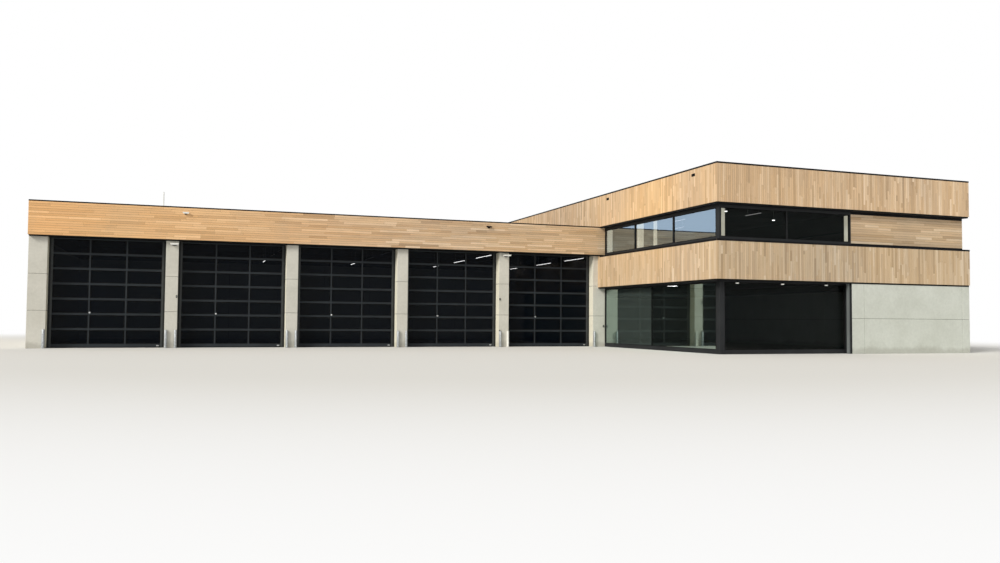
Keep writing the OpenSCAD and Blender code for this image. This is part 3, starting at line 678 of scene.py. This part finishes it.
def glaze(glass, beads, wall, u0, u1, z0, z1, rng, slot=0):
    """One pane in an opening, with a dark bead round its edge."""
    edge = PANE_EDGE
    pane(glass, wall, u0 + edge, u1 - edge, z0 + edge, z1 - edge, rng, slot)
    left, right, foot, head = u0 - BEAD_LAP, u1 + BEAD_LAP, z0 - BEAD_LAP, z1 + BEAD_LAP
    for a0, a1, b0, b1 in (
        (left, right, foot, z0 + BEAD_W), (left, right, z1 - BEAD_W, head),
        (left, u0 + BEAD_W, z0 + BEAD_W, z1 - BEAD_W),
        (u1 - BEAD_W, right, z0 + BEAD_W, z1 - BEAD_W),
    ):
        wall_block(beads, wall, a0, a1, b0, b1, -PANE_BACK - PANE_T, BEAD_OUT, 0.001)


# Concrete


def make_piers():
    """The piers in three lifts round a dark core; their faces across the doors are slot 2, a paler
    concrete that is painted sunlight.
    """
    piece = Piece("pier_panels", "concrete", CONCRETE, RUBBER, SUNLIT_SIDE_CONCRETE)
    y0, y1 = piers_lo.y, piers_hi.y
    for x0, x1 in zip(pier_left, (*door_left, glass_x)):
        ends = (2 if x0 > hall_x else 0, 2)
        piece.block((x0 + PANEL_T, y0 + PANEL_T, 0), (x1 - PANEL_T, y1, piers_hi.z), material=1)
        for z0, z1 in stretches((0.0, *PIER_JOINTS, piers_hi.z), PANEL_GAP):
            piece.block((x0, y0, z0), (x1, y1 - PANEL_CLEAR, z1), PIER_CHAMFER, ends=ends)
    piece.make("piers")


def make_panels():
    """The plain walls in precast panels, and the end of the wall between hall and block."""
    hall, block = (CONCRETE, PIER_JOINTS), (WALL_CONCRETE, (FRONT_PANEL_Z,))
    front_face = Wall(block_x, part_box("concrete_front_wall")[0].y, X, -Y)
    end_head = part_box("hall_rear_wall")[1].z - END_PANEL_DROP
    for name, node, wall, cuts, (material, joints) in (
        ("hall_left_panels", "hall_left_wall", HALL_LEFT, None, hall),
        ("hall_rear_panels", "hall_rear_wall", HALL_REAR, None, hall),
        ("block_front_panels", "concrete_front_wall", front_face, FRONT_PANEL_CUTS, block),
        ("block_right_panels", "block_right_wall", BLOCK_RIGHT, None, block),
        ("block_rear_panels", "block_rear_wall", BLOCK_REAR, None, block),
    ):
        lo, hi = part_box(node)
        u0, u1, thickness = wall.reach(lo, hi)
        piece = Piece(name, "concrete", material, RUBBER)
        across = (u0, *cuts, u1) if cuts else evenly(u0, u1, PANEL_W)
        panels(piece, wall, across, (0.0, *joints, hi.z), thickness)
        piece.make(node)

    piece = Piece("dividing_wall_end", "concrete", WALL_CONCRETE)
    wall_block(piece, Wall(0, divide_hi.y, -X, Y), -divide_hi.x + PANEL_GAP / 2,
               -divide_lo.x - PANEL_GAP / 2, 0.0, end_head, 0, PANEL_OUT, chamfer=0.002)
    piece.make()


# Timber


def make_boards():
    """Level boards on the hall's fascia, and upright ones on the two bands of the block."""
    rng = random.Random(11)
    for side, wall, u0, u1 in (
        ("front", HALL_FRONT, -BOARD_T, glass_x - hall_x),
        ("left", HALL_LEFT, 0, rear_y - fascia_lo.y),
        ("rear", HALL_REAR, 0, glass_x - hall_x + BOARD_T),
    ):
        piece = Piece(f"hall_{side}_boards", "timber_cladding", TIMBER)
        level_boards(piece, wall, u0, u1, fascia_lo.z, fascia_hi.z, rng)
        piece.make()

    for name, z0, z1, left_start, rear_end in (
        ("top_band", top_lo.z, top_hi.z, 0.0, block_w + BOARD_T),
        ("lower_band", low_lo.z, low_hi.z, rear_y - piers_lo.y, right_x - glass_x),
    ):
        for side, wall, u0, u1 in (
            ("front", BLOCK_FRONT, -BOARD_T, block_w + BOARD_T),
            ("left", BLOCK_LEFT, left_start, depth),
            ("right", BLOCK_RIGHT, 0.0, depth),
            ("rear", BLOCK_REAR, -BOARD_T, rear_end),
        ):
            piece = Piece(f"{name}_boards_{side}", "timber_cladding", TIMBER)
            upright_boards(piece, wall, u0, u1, z0, z1, rng)
            piece.make()


def make_recess_boards():
    """Level boards of the upper storey, between a dark foot and a dark head; the head is a metal trim
    that also stands for painted shade under the top band.
    """
    rng = random.Random(23)
    trims_and_shade = Piece("recess_trims_and_shade", "dark_metal", DARK_METAL)
    front_lo, front_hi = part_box("upper_wall_front")
    right_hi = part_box("upper_wall_right")[1]
    back_lo, back_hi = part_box("upper_wall_rear")
    half = PLAIN_WINDOW_L / 2
    right_face = Wall(right_hi.x, 0, Y, X)
    rear_face = Wall(0, back_hi.y, -X, Y)
    middle = -(block_x + right_x) / 2
    z0, z1 = front_lo.z + RECESS_FOOT, front_hi.z - RECESS_HEAD
    for name, runs in (
        ("front", [(Wall(0, front_lo.y, X, -Y), front_lo.x, front_hi.x + BOARD_T)]),
        ("right", [(right_face, front_lo.y, -half), (right_face, half, back_hi.y)]),
        ("rear", [(rear_face, -back_hi.x - BOARD_T, middle - half),
                  (rear_face, middle + half, -back_lo.x)]),
    ):
        piece = Piece(f"recess_boards_{name}", "timber_cladding", TIMBER)
        for wall, u0, u1 in runs:
            level_boards(piece, wall, u0, u1, z0 + BOARD_GAP, z1 - BOARD_GAP, rng)
            for low, high in ((front_lo.z, z0), (z1, front_hi.z)):
                wall_block(trims_and_shade, wall, u0, u1, low, high, 0, BOARD_T, chamfer=0.002)
        piece.make()
    trims_and_shade.make()


# Metal trim


def make_trim():
    """The metal ledge on the lower band with its lip, the copings' lips and the roof's upstand."""
    piece = Piece("ledge_flashing", "dark_metal", DARK_METAL)
    z1 = low_hi.z + LEDGE_T
    strip_lo, front_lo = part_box("strip_frame_left")[0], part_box("upper_wall_front")[0]
    right_hi, back_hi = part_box("upper_wall_right")[1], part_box("upper_wall_rear")[1]
    for wall, u0, u1, back in (
        (BLOCK_FRONT, -LIP_OUT, block_w + LIP_OUT, front_lo.y - front_y),
        (BLOCK_LEFT, rear_y - fascia_lo.y, depth - TINY, strip_lo.x - block_x),
        (BLOCK_RIGHT, 0.0, depth, right_x - right_hi.x),
        (BLOCK_REAR, -LIP_OUT, right_x - glass_x, rear_y - back_hi.y),
    ):
        wall_block(piece, wall, u0, u1, low_hi.z, z1, -back, LIP_OUT, chamfer=0.001)
        wall_block(piece, wall, u0, u1, low_hi.z - LIP_H, z1, BOARD_T, LIP_OUT, LIP_CHAMFER)
    piece.make()

    piece = Piece("coping_lips", "dark_metal", DARK_METAL)
    z1, across = top_hi.z, (-LIP_OUT, block_w + LIP_OUT)
    for wall, (u0, u1) in ((BLOCK_FRONT, across), (BLOCK_LEFT, (0.0, depth)),
                           (BLOCK_RIGHT, (0.0, depth)), (BLOCK_REAR, across)):
        wall_block(piece, wall, u0, u1, z1 - COPING_LIP, z1, BOARD_T, LIP_OUT, LIP_CHAMFER)
    piece.make()

    piece = Piece("roof_upstand", "dark_metal", DARK_METAL)
    piece.block((divide_lo.x - UPSTAND_OUT, fascia_hi.y, hall_roof_hi.z),
                (divide_lo.x + TINY, rear_y - UPSTAND_FROM_REAR, top_lo.z - UPSTAND_DROP),
                chamfer=0.003)
    piece.make()


# Doors


def door_openings(left, foot, width):
    """The glazed openings of one door: (left, right, foot, head)."""
    edge = TRACK_LAP + RAIL_W
    pane_w = (width - 2 * edge - (PANES - 1) * MULLION_W) / PANES
    for s in range(UPPER_SECTIONS + 1):
        low = FOOT_RAIL_H if s == 0 else LOW_SECTION_H + (s - 1) * SECTION_H + RAIL_W
        high = LOW_SECTION_H + s * SECTION_H - RAIL_W
        for p in range(PANES):
            x = left + edge + p * (pane_w + MULLION_W)
            yield x, x + pane_w, foot + low, foot + high


def make_doors():
    """Panes with their beads, locks, bolts and floor seals, and the strips beside the doors."""
    rng = random.Random(5)
    glass = Piece("door_panes", "glass", DOOR_GLASS, CLEAR_GLASS)
    beads = Piece("door_beads", "dark_metal", RUBBER)
    fittings = Piece("door_fittings", "galvanised", STEEL, RUBBER)
    edges = Piece("track_edges", "dark_metal", STRIP_METAL)
    track_face = Wall(0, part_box("door_tracks")[0].y, X, -Y)
    for i, left in enumerate(door_left):
        lo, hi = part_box(f"door_{i + 1}")
        face = Wall(0, lo.y, X, -Y)
        for x0, x1, z0, z1 in door_openings(lo.x, lo.z, hi.x - lo.x):
            glaze(glass, beads, face, x0, x1, z0, z1, rng)
        fittings.turned((left + LOCK_X, lo.y, LOCK_Z), -Y, LOCK_PROFILE)
        fittings.fitting((left + BOLT_X, lo.y, BOLT_Z), BOLT_PLATE)
        fittings.turned((left + BOLT_X, lo.y, BOLT_Z), -Y, BOLT_PROFILE, 16)
        wall_block(fittings, face, left + SEAL_IN, left + DOOR_W - SEAL_IN, 0.0, SEAL_H, 0, SEAL_T,
                   chamfer=0.002, material=1)
        for x, way in ((lo.x + TRACK_LAP, 1), (hi.x - TRACK_LAP, -1)):
            for wall, inner, outer, far in ((track_face, -EDGE_W, -EDGE_CLEAR, EDGE_OUT),
                                            (face, EDGE_CLEAR, CAP_W, CAP_OUT)):
                u0, u1 = sorted((x + way * inner, x + way * outer))
                wall_block(edges, wall, u0, u1, EDGE_FOOT, hi.z - EDGE_FOOT, 0, far, chamfer=0.002)
    glass.make("door_glass")
    beads.make()
    fittings.make(smooth=True)
    edges.make()


# Windows


def between(a, b, uprights):
    """The openings between the uprights of a frame that runs from a to b."""
    return stretches((a + FRAME_W, *uprights, b - FRAME_W), FRAME_W)


def make_strip_windows(beads, rng):
    """The panes of the strip window, with the lining at its right end in cream paint that glows as
    painted light, and the plain windows.
    """
    lo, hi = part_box("strip_frame_left")
    z0, z1 = lo.z + STRIP_FOOT, hi.z - STRIP_HEAD
    strip_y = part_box("strip_frame_front")[0].y + (hi.x - lo.x) / 2
    face = Wall(lo.x, 0, -Y, -X)
    # painted reflection: these panes reflect the white world as blue sky
    glass = Piece("strip_panes_left", "glass", SKY_REFLECTION_GLASS, CLEAR_GLASS)
    uprights = [-strip_y - n * LEFT_PANE_W for n in (2, 1)]
    for u0, u1 in between(-hi.y, -lo.y, uprights):
        glaze(glass, beads, face, u0, u1, z0, z1, rng)
    glass.make("strip_glass")

    strip_x = (lo.x + hi.x) / 2
    lo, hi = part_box("strip_frame_front")
    wall_lo, wall_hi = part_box("upper_wall_front")
    # painted light: the lining glows as if lit from inside
    lining = Piece("reveal_lining", "white_paint", GLOWING_CREAM_PAINT)
    lining.block((wall_lo.x - LINING_T, hi.y + LINING_GAP, z0), (wall_lo.x, wall_hi.y, z1),
                 chamfer=0.003)
    lining.make()
    face = Wall(0, lo.y, X, -Y)
    glass = Piece("strip_panes_front", "glass", DARK_GLASS, CLEAR_GLASS)
    for u0, u1 in between(lo.x + STRIP_POST_W - FRAME_W, hi.x, [strip_x + FRONT_PANE_W]):
        glaze(glass, beads, face, u0, u1, z0, z1, rng)
    glass.make()

    glass = Piece("strip_panes_plain", "glass", DARK_GLASS, CLEAR_GLASS)
    half = PLAIN_WINDOW_L / 2
    middle = (block_x + right_x) / 2
    for face, centre in ((Wall(right_x - PLAIN_BACK, 0, Y, X), 0.0),
                         (Wall(0, rear_y - PLAIN_BACK, -X, Y), -middle)):
        for u0, u1 in between(centre - half, centre + half, [centre]):
            glaze(glass, beads, face, u0, u1, z0, z1, rng)
    glass.make()


def make_showroom_windows(beads, rng):
    """The showroom's two left panes, the second one darker, and its front pane."""
    lo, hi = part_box("showroom_frame_left")
    z0, z1 = lo.z + SHOW_FOOT, hi.z - SHOW_HEAD
    face = Wall(lo.x, 0, -Y, -X)
    glass = Piece("showroom_panes_left", "glass", SIDE_GLASS, CLEAR_GLASS, SHADE_GLASS)
    cuts = (-hi.y + FRAME_W, -front_y - GLASS_JOINT_FROM_FRONT, -lo.y - FRAME_W)
    for (u0, u1), slot in zip(stretches(cuts, GLASS_JOINT), (0, 2)):
        glaze(glass, beads, face, u0, u1, z0, z1, rng, slot)
    glass.make("showroom_glass")

    lo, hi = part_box("showroom_frame_front")
    face = Wall(0, lo.y + SHOW_BACK, X, -Y)
    glass = Piece("showroom_panes_front", "glass", DARK_GLASS, CLEAR_GLASS)
    glaze(glass, beads, face, lo.x + FRAME_W, hi.x - FRAME_W, z0, z1, rng)
    glass.make()


def make_windows():
    """All the fixed panes, with their beads in one piece."""
    rng = random.Random(31)
    beads = Piece("window_beads", "dark_metal", RUBBER)
    make_strip_windows(beads, rng)
    make_showroom_windows(beads, rng)
    beads.make()


def make_columns():
    """Cased corner column, and the steel column with its foot and head plates."""
    piece = Piece("column_casings", "grey_metal", GREY_METAL, WINDOW_METAL)
    lo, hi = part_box("showroom_columns")
    piece.block((lo.x, hi.y - CORNER_COLUMN[1], 0), (lo.x + CORNER_COLUMN[0], hi.y, hi.z), material=1)
    x0, y1 = hi.x - STEEL_COLUMN[0], lo.y + STEEL_COLUMN[1]
    shaft_foot = PLATE_T - PLATE_LAP
    piece.block((x0 + PLATE_OUT, lo.y + PLATE_OUT, shaft_foot),
                (hi.x - PLATE_OUT, y1 - PLATE_OUT, hi.z - shaft_foot), chamfer=0.006)
    for z0 in (0, hi.z - PLATE_T):
        piece.block((x0, lo.y, z0), (hi.x, y1, z0 + PLATE_T), chamfer=0.002)
    piece.make("showroom_columns")


# Lamps, posts and small fittings


def make_lamps():
    """Lamps on two piers, flood lamps on the fascia (the right one dark), and downlights."""
    piece = Piece("pier_lamps", "white_paint", WHITE_PAINT, LENS, DARK_METAL)
    for i in (1, DOOR_COUNT - 1):
        piece.fitting((door_left[i] - PIER_LAMP_W, piers_lo.y, PIER_LAMP_Z), PIER_LAMP)
    piece.make("lamps")

    piece = Piece("flood_lamps", "white_paint", WHITE_PAINT, LENS, DARK_METAL)
    for x, slot in zip(FLOOD_X, (None, 2)):
        piece.fitting((hall_x + x, fascia_lo.y - BOARD_T, FLOOD_Z), FLOOD_LAMP, slot)
    piece.make()

    piece = Piece("round_lamps", "white_paint", GLOW_PAINT, SOFT_LENS, DARK_METAL)
    for x in DOWNLIGHT_X:
        centre = (block_x + x, front_y + DOWNLIGHT_BACK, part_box("soffits")[0].z)
        for profile, segments, slot in DOWNLIGHT:
            piece.turned(centre, -Z, profile, segments, slot)
    piece.make(smooth=True)


def line_lamp(piece, x, y, z, length, roof, glow):
    """One line lamp along Y, hung on two rods from a roof; glow is the slot of its lens."""
    half, lens_half, rod_foot = length / 2, length / 2 - LENS_IN, z + ROD_FROM
    piece.block((x - LINE_HALF_W, y - half, z), (x + LINE_HALF_W, y + half, z + LINE_H),
                LINE_CHAMFER)
    piece.block((x - LENS_HALF_W, y - lens_half, z - LENS_DROP),
                (x + LENS_HALF_W, y + lens_half, z + LENS_LAP), LENS_CHAMFER, glow)
    for end in (-ROD_AT, ROD_AT):
        rod = ((0, ROD_R), (roof - rod_foot, ROD_R))
        piece.turned((x, y + end * length, rod_foot), Z, rod, ROD_SEGMENTS, 2)


def hung_lamp(piece, x, y, z, roof, shade, lens, segments, rod_foot, rod_r):
    """One round lamp on a rod from a roof: its shade stands above z and its lens below."""
    piece.turned((x, y, z), Z, shade, segments)
    piece.turned((x, y, z), -Z, lens, segments, 1)
    piece.turned((x, y, z), Z, ((rod_foot, rod_r), (roof - z, rod_r)), ROD_SEGMENTS, 2)


def make_inside_lamps():
    """Lamps hung inside, as they show through the glass."""
    piece = Piece("line_lamps", "white_paint", WHITE_PAINT, LIT_LENS, STEEL, SOFT_LENS)
    for row in range(2, DOOR_COUNT + 1):
        x = door_left[0] + row * (DOOR_W + PIER_W) - HALL_LINE_IN
        for k, (y, length) in enumerate(HALL_LINES):
            lit = 0 if k and row in DIM_ROWS else 1
            line_lamp(piece, x, y, HALL_LINE_Z, length, hall_roof_lo.z, lit)
    for x, y, length in UPPER_LINES:
        line_lamp(piece, x, y, UPPER_LINE_Z, length, block_roof_lo.z, 3)
    for x, y in UPPER_SPOTS:
        hung_lamp(piece, x, y, UPPER_LINE_Z, block_roof_lo.z, *SPOT)
    for x, y in ROUND_PANELS:
        hung_lamp(piece, x, y, ROUND_PANEL_Z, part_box("block_first_floor")[0].z, *ROUND_PANEL)
    piece.make()


def make_posts():
    """Turned guard posts beside the doors; the one left of the last door is painted white."""
    piece = Piece("guard_posts_turned", "galvanised", GALVANISED, WHITE_PAINT)
    y = piers_lo.y - POST_R - POST_SEAT
    for left in door_left:
        for x in (left - POST_IN, left + DOOR_W + POST_IN):
            white = left == door_left[-1] and x < left
            piece.turned((x, y, 0), Z, POST_PROFILE, POST_SEGMENTS, 1 if white else 0)
    piece.make("guard_posts", smooth=True)


def make_small_fittings():
    """Key switches and sensors on the piers, and dark plugs in the overflow outlets as painted shade
    of their holes.
    """
    piece = Piece("key_switches", "dark_metal", RUBBER, STEEL)
    for pier, x, z in KEY_SWITCHES:
        at = (pier_left[pier] + x, piers_lo.y, z)
        piece.fitting(at, SWITCH)
        piece.turned(at, -Y, SWITCH_EYE, 16, 1)
    piece.make(smooth=True)

    # painted shade: dark plugs stand for the shade inside the outlets' holes
    piece = Piece("outlet_shade_plugs", "dark_metal", RUBBER)
    lo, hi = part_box("overflow_outlets")
    for y in (lo.y, hi.y - OUTLET_W):
        piece.block((block_x - THROAT_OUT, y + THROAT_IN, lo.z + THROAT_IN),
                    (block_x + TINY, y + OUTLET_W - THROAT_IN, hi.z - THROAT_IN), chamfer=0.001)
    piece.make()


# Roofs


def make_roofs():
    """Welded laps between the sheets of the roof membrane."""
    piece = Piece("roof_laps", "roofing", ROOFING)
    for lo, hi in ((hall_roof_lo, hall_roof_hi), (block_roof_lo, block_roof_hi)):
        for x in evenly(lo.x, hi.x, LAP_PITCH)[1:-1]:
            piece.block((x - LAP_HALF_W, lo.y + LAP_IN, hi.z - TINY),
                        (x + LAP_HALF_W, hi.y - LAP_IN, hi.z + LAP_T), chamfer=0.002)
    piece.make()


# Looks of the CAD nodes


def dress(material, *names):
    """One material for each of the named nodes."""
    for name in names:
        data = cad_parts[name].data
        data.materials.clear()
        data.materials.append(material)


def dress_nodes():
    """Materials of the CAD nodes that stay in sight."""
    dress(BACKING, "hall_fascia", "hall_side_fascia", "hall_rear_fascia", "lower_band_ends",
          "lower_band_sides", "top_band_ends", "top_band_sides", "upper_wall_front",
          "upper_wall_right", "upper_wall_rear")
    dress(DARK_METAL, "door_head", "hall_coping", "block_coping", "soffits", "overflow_outlets")
    # partly painted shade: the tracks are darkened for the shade of the piers' reveals
    dress(TRACK_METAL, "door_tracks")
    dress(WINDOW_METAL, "strip_frame_left", "strip_frame_front", "plain_window_frames",
          "showroom_frame_left", "showroom_frame_front")
    dress(FRAME_METAL, *[f"door_{i + 1}" for i in range(DOOR_COUNT)])
    dress(FLOOR, "ground_floors")
    dress(INSIDE, "block_first_floor", "dividing_wall")
    # painted light: the inner columns glow as if lit from inside
    dress(GLOWING_CREAM_PAINT, "inner_columns")
    dress(ROOFING, "hall_roof", "block_roof")
    dress(WHITE_PAINT, "roof_mast")


# Camera, floor and light


def make_camera():
    """The photo's camera: rolled, tipped up, turned and put in its place."""
    camera = add_object("camera", bpy.data.cameras.new("camera"))
    camera.data.lens, camera.data.sensor_width = CAMERA_LENS, SENSOR_W
    camera.data.clip_end = CLIP_END
    camera.matrix_world = (
        Matrix.Translation(CAMERA_AT)
        @ Matrix.Rotation(-CAMERA_YAW, 4, "Z")
        @ Matrix.Rotation(math.pi / 2 + CAMERA_PITCH, 4, "X")
        @ Matrix.Rotation(CAMERA_ROLL, 4, "Z")
    )
    bpy.context.scene.camera = camera


def seen_directly(n):
    """1 for what the camera, a reflection or clear glass sees, and 0 for light on the object."""
    path = n.add("LightPath").outputs
    both = n.math(path["Is Camera Ray"], path["Is Glossy Ray"], "MAXIMUM")
    return n.math(both, path["Is Transmission Ray"], "MAXIMUM")


def make_floor():
    """A plain pale floor that keeps the shadow near the object and turns white far from it."""
    n = Nodes("pale_floor")
    n.set(Base_Color=srgb(222, 221, 217), Roughness=0.9, Specular_IOR_Level=0.1)
    away = n.add("VectorMath", {0: n.place()}, operation="LENGTH").outputs["Value"]
    far = n.fade(away, FLOOR_NEAR, FLOOR_FAR, 0.0, 1.0, smooth=True)
    share = n.math(far, seen_directly(n), "MULTIPLY")
    white = n.add("Emission", {"Color": (1, 1, 1, 1), "Strength": 1.0}).outputs[0]
    blend = n.add("MixShader", {0: share, 1: n.shader.outputs[0], 2: white}).outputs[0]
    n.put(n.tree.nodes["Material Output"], "Surface", blend)
    mesh = bpy.data.meshes.new("floor")
    half = FLOOR_HALF
    mesh.from_pydata([(-half, -half, 0), (half, -half, 0), (half, half, 0), (-half, half, 0)],
                     [], [(0, 1, 2, 3)])
    mesh.materials.append(n.material)
    floor = add_object("floor", mesh)
    floor.location.z = -FLOOR_DROP


def make_light():
    """Soft light from the sky all round, and a broad key light from the front left."""
    world = bpy.data.worlds.new("studio")
    bpy.context.scene.world = world
    n = Nodes("studio", world)
    sky = n.add("Background", {"Color": (1, 1, 1, 1), "Strength": SKY_STRENGTH}).outputs[0]
    white = n.add("Background", {"Color": (1, 1, 1, 1), "Strength": 1.0}).outputs[0]
    blend = n.add("MixShader", {0: seen_directly(n), 1: sky, 2: white}).outputs[0]
    n.put(n.tree.nodes["World Output"], "Surface", blend)
    key = add_object("key", bpy.data.lights.new("key", "SUN"))
    key.data.energy, key.data.angle = KEY_STRENGTH, math.radians(KEY_SPREAD)
    key.data.color = srgb(255, 251, 243)[:3]
    key.rotation_mode = "QUATERNION"
    key.rotation_quaternion = (-Vector(KEY_FROM)).to_track_quat("-Z", "Y")


make_camera()
make_piers()
make_panels()
make_boards()
make_recess_boards()
make_trim()
make_doors()
make_windows()
make_columns()
make_lamps()
make_inside_lamps()
make_posts()
make_small_fittings()
make_roofs()
dress_nodes()
make_floor()
make_light()
bpy.context.scene.view_settings.view_transform = "Standard"
